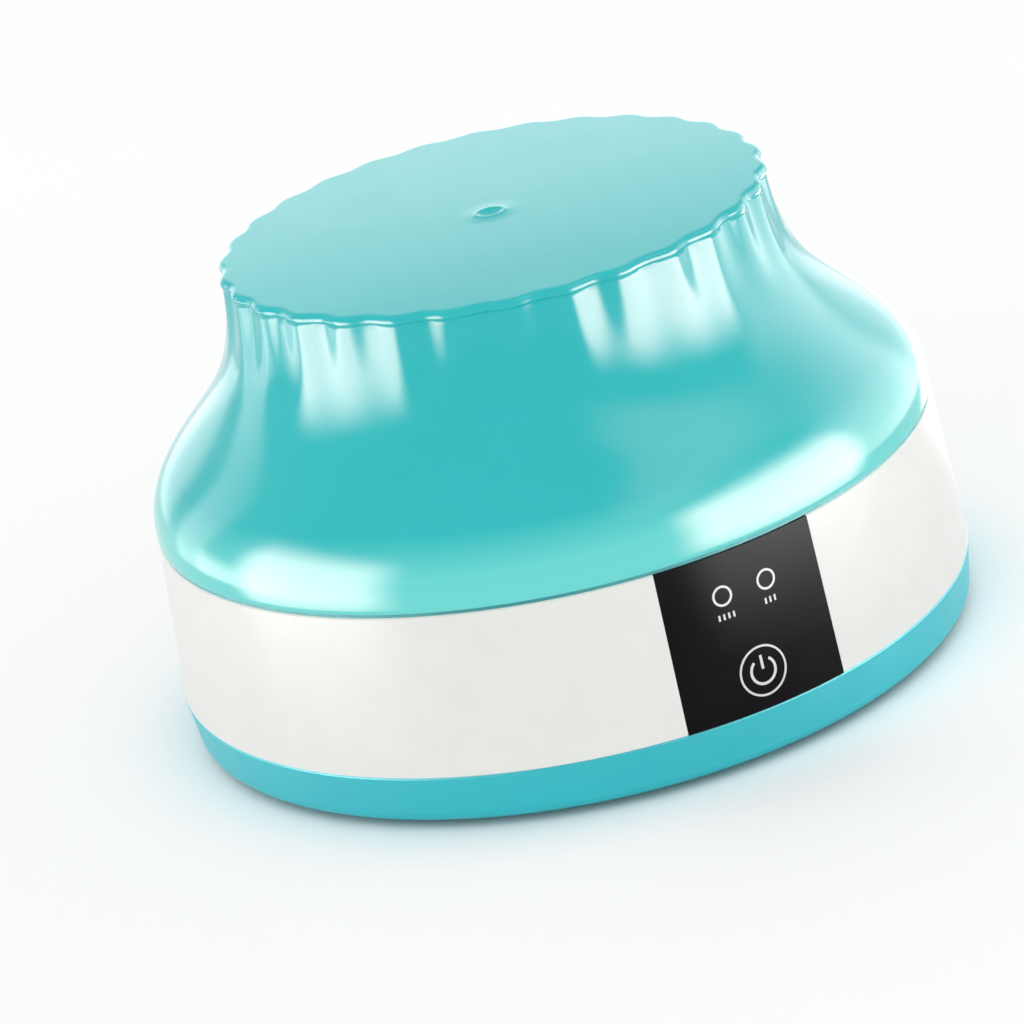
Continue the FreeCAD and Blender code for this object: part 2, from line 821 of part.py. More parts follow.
def motor_screws():
    head_top = plate_top + motor_screw_head_height
    screws = []
    for place in motor_screw_places():
        screw = cylinder(motor_screw_radius, plate_bottom - motor_screw_depth, plate_top, place)
        screws.append(screw.fuse(cylinder(motor_screw_head, plate_top, head_top, place)))
    return group(screws)


def motor_shaft():
    return cylinder(shaft_radius, weight_bottom - shaft_stub, motor_bottom + bush_length - shaft_setback)


def grub_hole():
    return Part.makeCylinder(grub_radius, weight_hub_radius - shaft_radius,
                             Vector(0, -weight_hub_radius, weight_bottom + weight_thickness / 2),
                             Vector(0, 1, 0))


def eccentric_weight():
    """A half disc with a hub, heavy to one side of the shaft."""
    half = sector(0.0, weight_radius, weight_bottom, weight_top, 180.0, 180.0)
    shape = half.fuse(cylinder(weight_hub_radius, weight_bottom, weight_top))
    shape = shape.cut(cylinder(shaft_radius, weight_bottom, weight_top))
    return shape.cut(grub_hole())


def weight_grub_screw():
    inner = cylinder(weight_hub_radius - grub_setback, weight_bottom, weight_top)
    shape = grub_hole().common(inner)
    return shape.cut(cylinder(shaft_radius, weight_bottom, weight_top))


# ---------------------------------------------------------------- bowl and clamp
def bowl_cushion():
    return ring(cushion_inner, cushion_outer, plate_top, bowl_seat)


def bowl_stud():
    shape = cylinder(stud_flange_radius, plate_top, plate_top + stud_flange_thickness)
    shape = shape.fuse(cylinder(stud_radius, plate_bottom, knob_bottom + stud_engagement))
    tip = rim_edges(shape, stud_radius, knob_bottom + stud_engagement)
    return shape.makeChamfer(stud_chamfer, tip)


def bowl():
    """A ring-shaped tub round a hollow centre cone, with a flanged rim."""
    floor_radius = bowl_radius - bowl_slope
    outer = cone(floor_radius, bowl_radius, bowl_seat, bowl_rim)
    outer = outer.makeFillet(bowl_floor_round, rim_edges(outer, floor_radius, bowl_seat))
    flange = cylinder(bowl_flange_radius, bowl_rim - bowl_flange_thickness, bowl_rim)
    flange = flange.makeFillet(bowl_flange_round, flange.Edges[0:1] + flange.Edges[2:3])
    channel_floor = bowl_seat + bowl_wall
    cavity = cone(floor_radius - bowl_wall, bowl_radius - bowl_wall, channel_floor, bowl_rim)
    cavity = cavity.makeFillet(bowl_floor_round - bowl_wall,
                               rim_edges(cavity, floor_radius - bowl_wall, channel_floor))
    core = cone(hub_base_radius, hub_top_radius, channel_floor, hub_top)
    hollow = cone(hub_base_radius - bowl_wall, hub_top_radius - bowl_wall,
                  bowl_seat, hub_top - bowl_wall)
    shape = outer.fuse(flange).cut(cavity.cut(core)).cut(hollow)
    shape = shape.cut(cylinder(stud_radius + stud_hole_gap, bowl_seat, hub_top))
    root = rim_edges(shape, hub_base_radius, channel_floor)
    shape = shape.makeFillet(hub_root_round, root)
    return shape.makeFillet(bowl_flange_round, rim_edges(shape, hub_top_radius, hub_top))


def clamp_washer():
    return ring(stud_radius + stud_hole_gap, washer_radius, hub_top, knob_bottom)


def clamp_knob():
    top = knob_bottom + knob_height
    shape = cylinder(knob_radius, knob_bottom, top)
    for k in range(knob_lobes):
        shape = shape.cut(cylinder(knob_scallop_radius, knob_bottom, top,
                                   polar(knob_scallop_circle, 360.0 / knob_lobes * (k + 0.5))))
    crown = [edge for edge in shape.Edges if edge.BoundBox.ZMin > top - 0.01]
    shape = shape.makeFillet(knob_round, crown)
    return shape.cut(cylinder(insert_radius, knob_bottom, knob_bottom + insert_length))


def knob_insert():
    return ring(stud_radius + thread_gap, insert_radius, knob_bottom, knob_bottom + insert_length)


# ---------------------------------------------------------------- hood
def lid_seal():
    outer = band_radius(band_top) - seal_setback
    return ring(rib_radius + lock_gap, outer, band_top, hood_rim)


def flute_depth_at(z):
    """Flutes are deepest at the top and fade out smoothly down the neck."""
    share = max(0.0, 1.0 - (hood_top - z) / flute_run)
    return flute_depth * share * share * (3.0 - 2.0 * share)


def hood_shell():
    """The flared bell with its fluted neck, closed by the thicker fluted edge of its top."""
    lip_bottom = hood_top - lip_height
    steps = 16
    sections = []
    for k in range(steps + 1):
        z = hood_rim + (lip_bottom - hood_rim) * k / steps
        sections.append(fluted_wire(hood_radius(z), flute_depth_at(z), z))
    neck = Part.makeLoft(sections, True, False)
    outline = Part.Face(fluted_wire(neck_radius + lip_proud, flute_depth, lip_bottom))
    lip = outline.extrude(Vector(0, 0, lip_height))
    top_edge = [edge for edge in lip.Edges if edge.BoundBox.ZMin > hood_top - 0.01]
    return neck.fuse(lip.makeFillet(lip_round, top_edge))


def hood_room():
    """The space inside the hood."""
    ceiling = hood_top - hood_wall
    steps = 12
    heights = [hood_rim + (ceiling - hood_rim) * k / steps for k in range(steps + 1)]
    curve = Part.BSplineCurve()
    curve.interpolate([Vector(hood_inside(z), 0, z) for z in heights])
    edges = [curve.toShape()]
    corners = [(hood_inside(ceiling), ceiling), (0, ceiling), (0, hood_rim),
               (hood_inside(hood_rim), hood_rim)]
    for (r0, z0), (r1, z1) in zip(corners, corners[1:]):
        edges.append(Part.LineSegment(Vector(r0, 0, z0), Vector(r1, 0, z1)).toShape())
    face = Part.Face(Part.Wire(edges))
    return face.revolve(Vector(0, 0, 0), Vector(0, 0, 1), 360)


def hood():
    shape = hood_shell().cut(hood_room())
    rim = gate_radius + gate_rim_width
    shape = shape.fuse(lathe([(0, hood_top - gate_root), (rim, hood_top - gate_root), (rim, hood_top),
                              (gate_radius, hood_top + gate_rim_height),
                              (0, hood_top + gate_rim_height)]))
    ball = (gate_radius ** 2 + gate_depth ** 2) / (2.0 * gate_depth)
    centre = Vector(0, 0, hood_top + gate_rim_height - gate_depth + ball)
    shape = shape.cut(Part.makeSphere(ball, centre))
    lug_top = rib_bottom - lock_gap
    wall = hood_inside(hood_rim) + lug_root
    for k in range(lug_count):
        azimuth = lug_azimuth + 360.0 / lug_count * k
        shape = shape.fuse(sector(lug_radius, wall, hood_rim + lock_gap, lug_top, azimuth, lug_width))
    return shape


SUB_PARTS = [
    base_cover, rubber_feet, base_screws, housing_band, splash_deck, lower_spring_seats,
    control_panel, panel_legends, light_guides, touch_pad, control_board, board_screws,
    board_lamps, board_sockets, motor_plug, inlet_plug, driver_chip, smoothing_capacitor,
    dc_inlet, inlet_pin, inlet_locknut, inlet_tags, inlet_lead, motor_lead,
    coil_springs, upper_spring_seats, drive_plate, vibration_motor, motor_bush,
    motor_terminals, motor_screws, bowl_cushion, bowl_stud, bowl,
    motor_shaft, eccentric_weight, weight_grub_screw, clamp_washer, clamp_knob, knob_insert,
    lid_seal, hood,
]

os.makedirs("parts", exist_ok=True)
for make in SUB_PARTS:
    shape = make()
    shape.exportStep(os.path.join("parts", make.__name__ + ".step"))
    print(make.__name__, "solids", len(shape.Solids), "valid", shape.isValid(),
          "volume", round(shape.Volume, 1))
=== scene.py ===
import json
import math
import bmesh
import bpy
from mathutils import Matrix, Vector


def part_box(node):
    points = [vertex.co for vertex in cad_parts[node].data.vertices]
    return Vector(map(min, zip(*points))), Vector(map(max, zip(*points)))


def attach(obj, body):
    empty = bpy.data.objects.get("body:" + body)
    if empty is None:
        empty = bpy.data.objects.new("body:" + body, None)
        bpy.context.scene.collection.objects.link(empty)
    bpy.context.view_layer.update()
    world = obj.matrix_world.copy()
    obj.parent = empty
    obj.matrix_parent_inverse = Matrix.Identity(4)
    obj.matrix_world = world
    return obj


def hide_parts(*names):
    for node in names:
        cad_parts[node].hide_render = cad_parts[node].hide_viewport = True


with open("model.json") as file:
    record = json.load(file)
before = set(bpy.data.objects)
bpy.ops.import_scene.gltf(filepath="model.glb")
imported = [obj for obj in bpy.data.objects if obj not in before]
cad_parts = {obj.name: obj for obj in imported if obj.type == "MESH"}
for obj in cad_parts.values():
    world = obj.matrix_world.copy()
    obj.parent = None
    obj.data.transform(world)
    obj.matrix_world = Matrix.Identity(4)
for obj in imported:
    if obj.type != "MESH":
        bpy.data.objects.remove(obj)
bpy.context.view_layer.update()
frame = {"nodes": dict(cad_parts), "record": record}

MM = 0.001

# ---------------------------------------------------------------- places, from the frame
rim_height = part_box("hood")[0].z
gate_rim_height = 0.2 * MM      # the ring round the dimple is the highest thing on the top
crown_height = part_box("hood")[1].z - gate_rim_height
rim_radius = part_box("hood")[1].x

# ---------------------------------------------------------------- the hood's own shape
neck_radius = 61.0 * MM
bell_height = 39.16 * MM
bell_power = 2.585
bell_fall = 3.1475
hood_wall = 3.0 * MM
flute_count = 30
flute_depth = 1.2 * MM          # at the lip
neck_flute_depth = 1.05 * MM    # at the top of the neck
flute_run = 25.0 * MM           # how far down the neck the flutes reach
lip_height = 2.2 * MM
lip_proud = 0.5 * MM
lip_round = 1.25 * MM
lip_turn = math.radians(135.0)  # how far the lip curls under
lug_low = rim_height + 0.4 * MM
lug_high = rim_height + 2.2 * MM
lug_reach_height = lug_high + 2.4 * MM
lug_reach = 1.6 * MM            # the lugs end this far inside the wall, as it is at that height
lug_count = 3
lug_width = 14.0                # degrees
lug_azimuth = 60.0              # degrees, the first of them
lug_step = 0.02 * MM            # the wall's rows lie this close to the lugs' two faces
gate_radius = 3.0 * MM
gate_depth = 0.8 * MM
gate_rim_width = 1.2 * MM
rim_edge = 0.35 * MM            # the small rounding of the hood's lower edge
rim_edge_share = 0.3            # its middle row lies this share of it in and up
ceiling_round = 1.5 * MM
flute_start = 0.6 * MM          # the flutes begin this far inside the flat top's edge
flute_start_share = 0.97        # and are this deep there, of their depth at the lip
sharp_angle = math.radians(50.0)

# ---------------------------------------------------------------- how finely the hood is meshed
gate_steps = 6
top_ring_radii = (8.0, 20.0, 38.0, 50.0, 55.0)          # mm, rows across the flat top
lip_steps = 14
outside_steps = 64
inside_steps = 32
ceiling_round_steps = 4
ceiling_ring_radius = 30.0 * MM
points_per_flute = 16

# ---------------------------------------------------------------- texture scales, waves per metre
drift_scale = 14.0              # a slow change of shade across a whole piece
mottle_scale = 160.0
polish_scale = 60.0             # patches that are a little more or less glossy
flow_scale = 9.0                # the faint waves of moulded plastic
grain_scale = 2600.0
brush_scale = 90.0
stain_scale = 45.0
scuff_scale = 500.0
bloom_scale = 70.0
dust_scale = 220.0
matte_scale = 3200.0
floor_scale = 3.0


# ---------------------------------------------------------------- node helpers
# A Mix node set to RGBA keeps its colour sockets at these places.
COLOUR_A, COLOUR_B, COLOUR_OUT = 6, 7, 2


class Shader:
    """One material's node tree, with short calls for the nodes that the materials use."""

    def __init__(self, name):
        self.material = bpy.data.materials.new(name)
        self.material.use_nodes = True
        self.nodes = self.material.node_tree.nodes
        self.links = self.material.node_tree.links
        self.bsdf = self.nodes["Principled BSDF"]
        self.place = self.nodes.new("ShaderNodeTexCoord").outputs["Object"]

    def set(self, **values):
        """Constants on the shader's own sockets, such as coat_weight=1.0."""
        for name, value in values.items():
            socket = name.replace("_", " ").title().replace("Ior", "IOR")
            self.bsdf.inputs[socket].default_value = value
        return self

    def node(self, kind, inputs=None, **settings):
        node = self.nodes.new("ShaderNode" + kind)
        for name, value in settings.items():
            setattr(node, name, value)
        for name, value in (inputs or {}).items():
            if isinstance(value, bpy.types.NodeSocket):
                self.links.new(value, node.inputs[name])
            else:
                node.inputs[name].default_value = value
        return node

    def stretched(self, scale):
        """The object's coordinates, scaled along each axis."""
        return self.node("Mapping", {"Vector": self.place, "Scale": scale}).outputs["Vector"]

    def noise(self, scale, detail=4.0, roughness=0.5, vector=None):
        where = vector or self.place
        return self.node("TexNoise", {"Vector": where, "Scale": scale, "Detail": detail,
                                      "Roughness": roughness}).outputs["Fac"]

    def remap(self, value, low, high, from_low=0.3, from_high=0.7):
        """A value from low to high. The defaults suit a noise, which seldom leaves 0.3 to 0.7."""
        return self.node("MapRange", {"Value": value, "From Min": from_low, "From Max": from_high,
                                      "To Min": low, "To Max": high}).outputs["Result"]

    def mix(self, factor, first, second):
        """From the first colour to the second, each a socket or red, green and blue."""
        node = self.node("Mix", data_type="RGBA")
        self.links.new(factor, node.inputs["Factor"])
        for index, value in ((COLOUR_A, first), (COLOUR_B, second)):
            socket = node.inputs[index]
            if isinstance(value, bpy.types.NodeSocket):
                self.links.new(value, socket)
            else:
                socket.default_value = (*value, 1.0)
        return node.outputs[COLOUR_OUT]

    def share_of(self, value, share):
        """A socket's value times a constant."""
        return self.node("Math", {0: value, 1: share}, operation="MULTIPLY").outputs["Value"]

    def bump(self, height, strength, distance, normal=None):
        inputs = {"Height": height, "Strength": strength, "Distance": distance}
        if normal:
            inputs["Normal"] = normal
        return self.node("Bump", inputs).outputs["Normal"]

    def link(self, output, name):
        self.links.new(output, self.bsdf.inputs[name])
        return self


def moulded(name, colour, shade, roughness, grain=0.0, coat=0.0):
    """Moulded plastic: a slow drift of colour, a finer mottle, soft flow marks and a fine grain."""
    s = Shader(name)
    drift = s.remap(s.noise(drift_scale, 2.0), 0.0, 1.0)
    mottle = s.remap(s.noise(mottle_scale, 5.0), 0.0, 1.0)
    speck = tuple(min(1.0, c * 1.06) for c in colour)
    body = s.mix(drift, colour, shade)
    s.link(s.mix(s.share_of(mottle, 0.35), body, speck), "Base Color")
    s.link(s.remap(s.noise(polish_scale, 6.0), roughness * 0.8, roughness * 1.25), "Roughness")
    flow = s.bump(s.noise(flow_scale, 1.0), 0.10, 0.4 * MM)
    s.link(s.bump(s.noise(grain_scale, 3.0), grain, 0.02 * MM, flow), "Normal")
    return s.set(coat_weight=coat, coat_roughness=0.05)


def metal(name, colour, shade, roughness, lay=(1.0, 1.0, 40.0), brushed=0.25):
    """Metal with brush lines along one axis, slight stain and small scuffs."""
    s = Shader(name)
    lines = s.noise(brush_scale, 4.0, 0.6, s.stretched(lay))
    stain = s.noise(stain_scale, 5.0)
    s.link(s.mix(s.remap(stain, 0.0, 1.0), colour, shade), "Base Color")
    s.link(s.remap(lines, roughness * 0.75, roughness * 1.35), "Roughness")
    scuffs = s.bump(s.noise(scuff_scale, 6.0), 0.08, 0.05 * MM)
    s.link(s.bump(lines, brushed, 0.03 * MM, scuffs), "Normal")
    return s.set(metallic=1.0)


def rubbery(name, colour, shade, roughness=0.62):
    """Rubber with a pale bloom, patches that dust has dulled and a fine matte texture."""
    s = Shader(name)
    bloom = s.noise(bloom_scale, 6.0)
    s.link(s.mix(s.remap(bloom, 0.0, 1.0), colour, shade), "Base Color")
    dust = s.noise(dust_scale, 4.0)
    s.link(s.remap(dust, roughness * 0.85, min(1.0, roughness * 1.2)), "Roughness")
    soft = s.bump(bloom, 0.15, 0.08 * MM)
    s.link(s.bump(s.noise(matte_scale, 3.0), 0.35, 0.03 * MM, soft), "Normal")
    return s


# ---------------------------------------------------------------- materials
# Heights of the painted glow: the hood's colour is painted fully paler below the first and not at all
# above the second.
painted_glow_low = rim_height + 7.0 * MM
painted_glow_high = rim_height + 15.0 * MM


def hood_teal():
    """Glossy teal, painted paler near the rim: a painted glow for the light from the white deck showing
    through.
    """
    s = moulded("hood_teal", (0.012, 0.50, 0.52), (0.016, 0.53, 0.55), 0.13, 0.05)
    height = s.node("SeparateXYZ", {"Vector": s.place}).outputs["Z"]
    painted_glow = s.remap(height, 1.0, 0.0, painted_glow_low, painted_glow_high)
    body = s.bsdf.inputs["Base Color"].links[0].from_socket
    # Painted light: a paler teal mixed into the base colour near the rim, a painted glow standing in
    # for light.
    s.link(s.mix(s.share_of(painted_glow, 0.85), body, (0.16, 0.74, 0.70)), "Base Color")
    return s.set(specular_tint=(1.0, 0.60, 0.55, 1.0))


def base_teal():
    s = moulded("base_teal", (0.010, 0.48, 0.55), (0.014, 0.51, 0.58), 0.42, 0.10)
    return s.set(specular_ior_level=0.6)


def band_white():
    s = moulded("band_white", (0.82, 0.82, 0.79), (0.79, 0.79, 0.765), 0.36, 0.12)
    return s.set(specular_ior_level=0.15)


def panel_black():
    s = moulded("panel_black", (0.002, 0.002, 0.003), (0.003, 0.003, 0.004), 0.24, 0.02)
    return s.set(specular_ior_level=0.09)


MATERIALS = {
    "hood_teal": hood_teal(),
    "base_teal": base_teal(),
    "band_white": band_white(),
    "panel_black": panel_black(),
    "deck_white": moulded("deck_white", (0.74, 0.74, 0.71), (0.69, 0.69, 0.66), 0.45, 0.3),
    "seal_rubber": rubbery("seal_rubber", (0.03, 0.30, 0.31), (0.04, 0.34, 0.35)),
    "print_white": moulded("print_white", (0.66, 0.66, 0.66), (0.58, 0.58, 0.58), 0.5, 0.3),
    "rubber_black": rubbery("rubber_black", (0.018, 0.018, 0.018), (0.03, 0.03, 0.03)),
    "cushion_rubber": rubbery("cushion_rubber", (0.03, 0.03, 0.03), (0.045, 0.045, 0.045)),
    "screw_steel": metal("screw_steel", (0.62, 0.62, 0.60), (0.50, 0.50, 0.49), 0.32),
    "clear_guide": moulded("clear_guide", (0.80, 0.84, 0.86), (0.74, 0.80, 0.83), 0.10, 0.0, 1.0),
    "pad_foam": rubbery("pad_foam", (0.05, 0.05, 0.05), (0.08, 0.08, 0.08), 0.8),
    "board_green": moulded("board_green", (0.010, 0.10, 0.035), (0.016, 0.13, 0.05), 0.35, 0.2, 0.4),
    "lamp_white": moulded("lamp_white", (0.78, 0.78, 0.70), (0.72, 0.72, 0.62), 0.2, 0.0, 0.5),
    "socket_white": moulded("socket_white", (0.70, 0.69, 0.62), (0.64, 0.62, 0.55), 0.45, 0.3),
    "chip_black": moulded("chip_black", (0.015, 0.015, 0.017), (0.03, 0.03, 0.03), 0.5, 0.5),
    "capacitor_blue": moulded("capacitor_blue", (0.02, 0.035, 0.16), (0.03, 0.05, 0.20), 0.3, 0.1, 0.4),
    "inlet_black": moulded("inlet_black", (0.012, 0.012, 0.012), (0.02, 0.02, 0.02), 0.4, 0.4),
    "nickel": metal("nickel", (0.72, 0.70, 0.66), (0.62, 0.60, 0.56), 0.22),
    "locknut_black": moulded("locknut_black", (0.02, 0.02, 0.02), (0.03, 0.03, 0.03), 0.45, 0.4),
    "lead_black": rubbery("lead_black", (0.012, 0.012, 0.012), (0.025, 0.025, 0.025), 0.5),
    "spring_steel": metal("spring_steel", (0.56, 0.56, 0.55), (0.42, 0.42, 0.42), 0.28),
    "plate_steel": metal("plate_steel", (0.58, 0.58, 0.56), (0.48, 0.48, 0.47), 0.38, (40.0, 1.0, 1.0)),
    "motor_steel": metal("motor_steel", (0.50, 0.50, 0.49), (0.40, 0.40, 0.39), 0.34),
    "bronze": metal("bronze", (0.48, 0.30, 0.14), (0.38, 0.24, 0.12), 0.4),
    "stud_steel": metal("stud_steel", (0.62, 0.62, 0.60), (0.52, 0.52, 0.50), 0.28),
    "bowl_grey": moulded("bowl_grey", (0.11, 0.125, 0.13), (0.09, 0.10, 0.105), 0.42, 0.35),
    "shaft_steel": metal("shaft_steel", (0.64, 0.64, 0.62), (0.54, 0.54, 0.52), 0.2),
    "weight_brass": metal("weight_brass", (0.62, 0.43, 0.17), (0.50, 0.34, 0.13), 0.3),
    "knob_teal": moulded("knob_teal", (0.05, 0.46, 0.50), (0.06, 0.50, 0.53), 0.28, 0.15, 0.5),
    "insert_brass": metal("insert_brass", (0.64, 0.45, 0.18), (0.52, 0.36, 0.14), 0.3),
}


def give(obj, slot):
    """One of the materials above, on a whole piece."""
    obj.data.materials.clear()
    obj.data.materials.append(MATERIALS[slot].material)


for row in frame["record"]["subparts"]:
    give(frame["nodes"][row["node"]], row["material_slot"])


# ---------------------------------------------------------------- mesh helpers
def polar(radius, azimuth, z):
    """The point at a radius, an azimuth in radians and a height."""
    return Vector((radius * math.sin(azimuth), -radius * math.cos(azimuth), z))


def add(obj):
    bpy.context.scene.collection.objects.link(obj)
    return obj


def piece(name, mesh, body, slot, *nodes):
    """Puts a finished mesh in the scene as a piece that rides on a body for some CAD nodes."""
    obj = add(bpy.data.objects.new(name, mesh))
    give(obj, slot)
    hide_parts(*nodes)
    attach(obj, body)


def skinned(name, rings):
    """One smooth mesh over rings of points, all of the same length or, at a pole, of one point."""
    bm = bmesh.new()
    made = [[bm.verts.new(point) for point in ring] for ring in rings]
    for near, far in zip(made, made[1:]):
        count = max(len(near), len(far))
        for k in range(count):
            n = (k + 1) % count
            if len(near) == 1:
                bm.faces.new((near[0], far[n], far[k]))
            elif len(far) == 1:
                bm.faces.new((near[k], near[n], far[0]))
            else:
                bm.faces.new((near[k], near[n], far[n], far[k]))
    bmesh.ops.recalc_face_normals(bm, faces=bm.faces)
    mesh = bpy.data.meshes.new(name)
    bm.to_mesh(mesh)
    bm.free()
    mesh.polygons.foreach_set("use_smooth", [True] * len(mesh.polygons))
    return mesh


# ---------------------------------------------------------------- hood
def ease(share):
    """A smooth step from 0 to 1."""
    return share * share * (3.0 - 2.0 * share)


def bell(height):
    """The bell's outline, from 1 at the rim towards 0, at a height above the rim."""
    return (1.0 + (height / bell_height) ** bell_power) ** -bell_fall


def hood_radius(z):
    """Outer radius of the hood at a height, without its flutes."""
    full = crown_height - rim_height
    flare = (bell(z - rim_height) - bell(full)) / (1.0 - bell(full))
    return neck_radius + (rim_radius - neck_radius) * flare


def flute_at(z):
    """How deep the neck's flutes are at a height: they fade out down the neck."""
    return neck_flute_depth * ease(max(0.0, 1.0 - (crown_height - z) / flute_run))


# The hood's rows are (radius, height, flute depth), down the outside from the middle of the top
# and then up the inside. A depth of None marks the rows where the bayonet's lugs stand out.
def top_rows():
    """The dimple, the ring round it and the flat top."""
    rows = []
    for k in range(gate_steps + 1):
        radius = gate_radius * k / gate_steps
        depth = gate_depth * (1.0 - (radius / gate_radius) ** 2)
        rows.append((radius, crown_height + gate_rim_height - depth, 0.0))
    for k in range(1, gate_steps + 1):
        share = k / gate_steps
        rise = gate_rim_height * (1.0 - ease(share))
        rows.append((gate_radius + gate_rim_width * share, crown_height + rise, 0.0))
    for radius in top_ring_radii:
        rows.append((radius * MM, crown_height, 0.0))
    return rows


def lip_rows():
    """The rounded, scalloped lip at the edge of the flat top."""
    flat = neck_radius + lip_proud - lip_round
    rows = [(flat - flute_start, crown_height, flute_depth * flute_start_share)]
    for k in range(lip_steps + 1):
        turn = lip_turn * k / lip_steps
        radius = flat + lip_round * math.sin(turn)
        rows.append((radius, crown_height - lip_round * (1.0 - math.cos(turn)), flute_depth))
    return rows


def outside_rows():
    """The fluted neck and the bell below it."""
    rows = []
    start = crown_height - lip_height
    for k in range(1, outside_steps + 1):
        z = start - (start - rim_height - rim_edge) * k / outside_steps
        rows.append((hood_radius(z), z, flute_at(z)))
    return rows


def rim_rows():
    """The lower edge, from the outer wall to the inner one."""
    outer = hood_radius(rim_height)
    inner = outer - hood_wall
    return [
        (outer - rim_edge_share * rim_edge, rim_height + rim_edge_share * rim_edge, 0.0),
        (outer - rim_edge, rim_height, 0.0),
        (inner + rim_edge, rim_height, 0.0),
        (inner, rim_height + rim_edge, 0.0),
    ]


def inside_rows():
    """The lugs, the inner wall and the ceiling."""
    rows = []
    for z, depth in ((lug_low - lug_step, 0.0), (lug_low, None), (lug_high, None)):
        rows.append((hood_radius(z) - hood_wall, z, depth))
    ceiling = crown_height - hood_wall
    start = lug_high + lug_step
    for k in range(inside_steps):
        z = start + (ceiling - ceiling_round - start) * k / inside_steps
        rows.append((hood_radius(z) - hood_wall, z, 0.0))
    corner = hood_radius(ceiling) - hood_wall
    for k in range(ceiling_round_steps + 1):
        turn = math.pi / 2 * k / ceiling_round_steps
        radius = corner - ceiling_round * (1.0 - math.cos(turn))
        rows.append((radius, ceiling - ceiling_round * (1.0 - math.sin(turn)), 0.0))
    rows.append((ceiling_ring_radius, ceiling, 0.0))
    rows.append((0.0, ceiling, 0.0))
    return rows


def on_lug(turn):
    """Whether an azimuth in radians lies on one of the lugs, which are evenly spaced."""
    between = 360.0 / lug_count
    off = (math.degrees(turn) - lug_azimuth + between / 2) % between - between / 2
    return abs(off) <= lug_width / 2


def hood_ring(radius, z, depth):
    """One row's points. The lugs' inner faces are upright, so they all end at one radius."""
    if radius == 0.0:
        return [Vector((0.0, 0.0, z))]
    lug_radius = hood_radius(lug_reach_height) - hood_wall - lug_reach
    around = flute_count * points_per_flute
    ring = []
    for k in range(around):
        turn = 2.0 * math.pi * k / around
        if depth is None:
            sunk = radius - lug_radius if on_lug(turn) else 0.0
        else:
            sunk = depth * (1.0 - math.cos(flute_count * turn)) / 2.0
        ring.append(polar(radius - sunk, turn, z))
    return ring


def hood_mesh():
    rows = top_rows() + lip_rows() + outside_rows() + rim_rows() + inside_rows()
    mesh = skinned("hood_shell", [hood_ring(*row) for row in rows])
    mesh.set_sharp_from_angle(angle=sharp_angle)
    return mesh


piece("hood_shell", hood_mesh(), "hood", "hood_teal", "hood")


# ---------------------------------------------------------------- light, floor and camera
def toward(azimuth, elevation=0.0):
    """The unit direction at an azimuth and elevation in degrees."""
    up = math.radians(elevation)
    return polar(math.cos(up), math.radians(azimuth), math.sin(up))


def ramp(tree, value, low, high):
    """A smooth step from 0 at low to 1 at high."""
    node = tree.nodes.new("ShaderNodeMapRange")
    node.interpolation_type = "SMOOTHSTEP"
    node.inputs["From Min"].default_value = low
    node.inputs["From Max"].default_value = high
    tree.links.new(value, node.inputs["Value"])
    return node.outputs["Result"]


def product(tree, first, second):
    """Two sockets' values, multiplied."""
    node = tree.nodes.new("ShaderNodeMath")
    node.operation = "MULTIPLY"
    tree.links.new(first, node.inputs[0])
    tree.links.new(second, node.inputs[1])
    return node.outputs[0]


def panel(name, azimuth, reach, low, high, width, radiance, top=0.5, bottom=0.0, side=0.25):
    """An upright lamp panel that faces the object. It fades over a share of its height at the
    top and bottom and of its width at each side, and shows only in gloss."""
    data = bpy.data.lights.new(name, "AREA")
    data.shape = "RECTANGLE"
    data.size, data.size_y = width, high - low
    data.energy = radiance * math.pi * data.size * data.size_y
    data.use_nodes = True
    tree = data.node_tree
    place = tree.nodes.new("ShaderNodeSeparateXYZ")
    tree.links.new(tree.nodes.new("ShaderNodeNewGeometry").outputs["Parametric"], place.inputs[0])
    strength = ramp(tree, place.outputs["Y"], 1.0, 1.0 - top)
    fades = [("X", 0.0, side), ("X", 1.0, 1.0 - side)]
    if bottom:
        fades.append(("Y", 0.0, bottom))
    for axis, start, end in fades:
        strength = product(tree, strength, ramp(tree, place.outputs[axis], start, end))
    tree.links.new(strength, tree.nodes["Emission"].inputs["Strength"])
    light = bpy.data.objects.new(name, data)
    light.location = toward(azimuth) * reach + Vector((0.0, 0.0, (low + high) / 2))
    light.rotation_euler = toward(azimuth).to_track_quat("Z", "Y").to_euler()
    light.visible_camera = False
    light.visible_diffuse = False
    add(light)


floor_half = 4.0


def floor():
    """A plain pale floor with no gloss, so that no lamp panel shows in it."""
    mesh = bpy.data.meshes.new("floor")
    corners = [(x * floor_half, y * floor_half, 0.0) for x, y in ((-1, -1), (1, -1), (1, 1), (-1, 1))]
    mesh.from_pydata(corners, [], [(0, 1, 2, 3)])
    obj = add(bpy.data.objects.new("floor", mesh))
    s = Shader("floor_white")
    drift = s.remap(s.noise(floor_scale), 0.0, 1.0)
    s.link(s.mix(drift, (0.965, 0.965, 0.965), (0.98, 0.98, 0.98)), "Base Color")
    s.set(roughness=0.9, specular_ior_level=0.0)
    mesh.materials.append(s.material)


SKY = 1.02
SKY_IN_GLOSS = 0.70
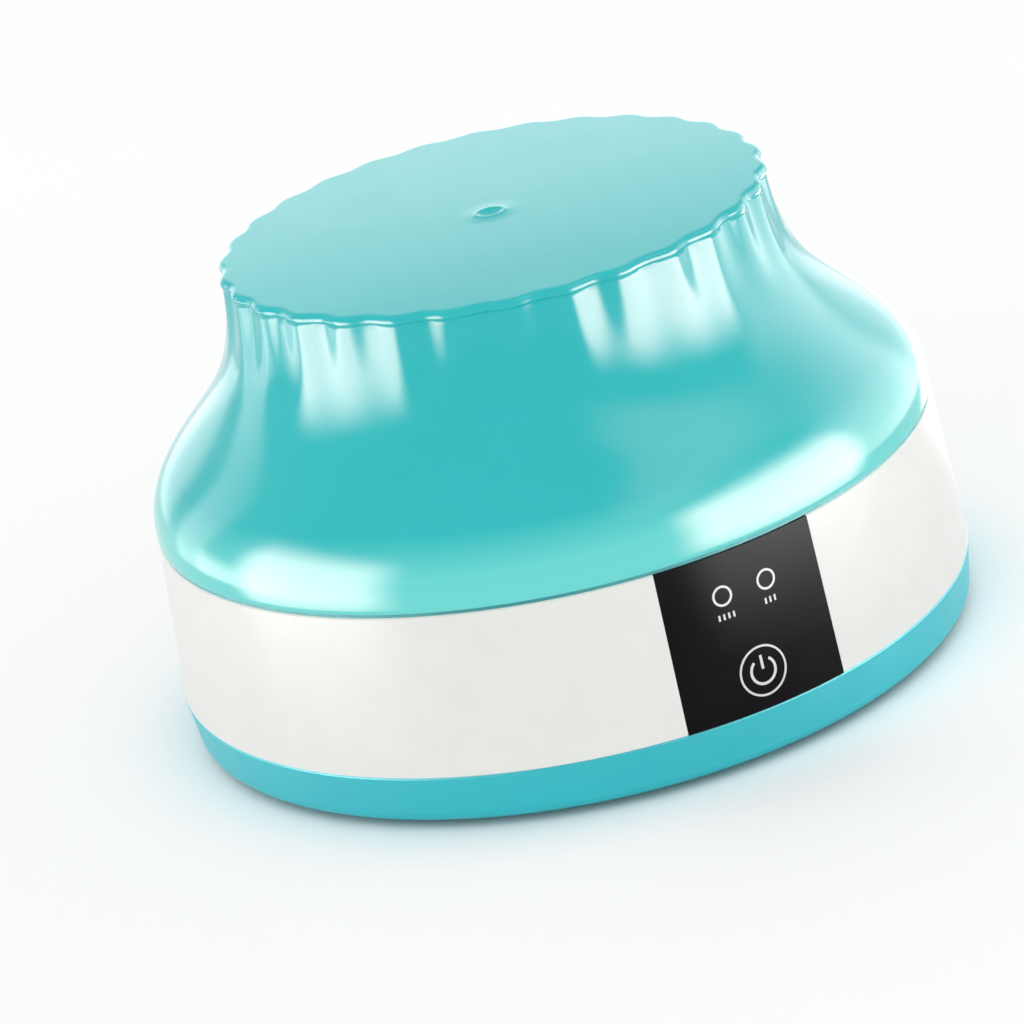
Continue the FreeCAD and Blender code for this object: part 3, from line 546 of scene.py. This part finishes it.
# The lamp panels: reach is metres from the object's axis, low and high are metres above the floor.
PANELS = {
    "left_main": dict(azimuth=-84.0, reach=0.16, low=0.0, high=0.144, width=0.15, radiance=12.5,
                      top=0.35, bottom=0.3),
    "left_low": dict(azimuth=-124.0, reach=0.30, low=0.0, high=0.10, width=0.12, radiance=4.5,
                     top=0.6),
    "left_edge": dict(azimuth=-138.0, reach=0.30, low=0.0, high=0.32, width=0.10, radiance=1.8,
                      top=0.6),
    "right_main": dict(azimuth=28.0, reach=0.16, low=0.0, high=0.144, width=0.18, radiance=15.0,
                       top=0.35, bottom=0.3, side=0.2),
    "right_edge": dict(azimuth=84.0, reach=0.30, low=0.0, high=0.34, width=0.32, radiance=3.0,
                       top=0.6),
    "right_floor": dict(azimuth=118.0, reach=0.16, low=0.0, high=0.05, width=0.16, radiance=12.0,
                        top=0.5),
    "right_high": dict(azimuth=38.0, reach=0.45, low=0.40, high=1.1, width=1.0, radiance=2.0,
                       top=0.4, bottom=0.3, side=0.4),
    "back": dict(azimuth=156.5, reach=0.45, low=0.0, high=0.29, width=0.90, radiance=1.2,
                 top=0.2, side=0.1),
}


def studio():
    """An even white sky, dimmer where it is seen in gloss, and the lamp panels."""
    world = bpy.data.worlds.new("studio")
    world.use_nodes = True
    tree = world.node_tree
    dim = tree.nodes.new("ShaderNodeMapRange")
    ray = tree.nodes.new("ShaderNodeLightPath")
    tree.links.new(ray.outputs["Is Glossy Ray"], dim.inputs["Value"])
    dim.inputs["To Min"].default_value = SKY
    dim.inputs["To Max"].default_value = SKY_IN_GLOSS
    tree.nodes["Background"].inputs["Color"].default_value = (1.0, 1.0, 1.0, 1.0)
    tree.links.new(dim.outputs["Result"], tree.nodes["Background"].inputs["Strength"])
    bpy.context.scene.world = world
    bpy.context.scene.view_settings.view_transform = "Standard"
    for name, place in PANELS.items():
        panel(name, **place)


# The camera: its direction from the aim and its roll in degrees, and the rest in metres.
camera_azimuth = -23.46
camera_elevation = 20.885
camera_roll = -12.274
camera_distance = 1.29774
camera_aim = Vector((-10.33 * MM, -0.41 * MM, 39.07 * MM))
camera_lens = 204.35            # mm, on a sensor this wide
camera_sensor = 36.0


def place_camera():
    """The camera, level and facing the aim, then rolled."""
    data = bpy.data.cameras.new("camera")
    data.lens = camera_lens
    data.sensor_width = camera_sensor
    camera = bpy.data.objects.new("camera", data)
    back = toward(camera_azimuth, camera_elevation)
    camera.location = camera_aim + back * camera_distance
    level = back.to_track_quat("Z", "Y").to_matrix().to_4x4()
    roll = Matrix.Rotation(math.radians(camera_roll), 4, "Z")
    camera.matrix_world = Matrix.Translation(camera.location) @ level @ roll
    add(camera)
    bpy.context.scene.camera = camera


floor()
studio()
place_camera()
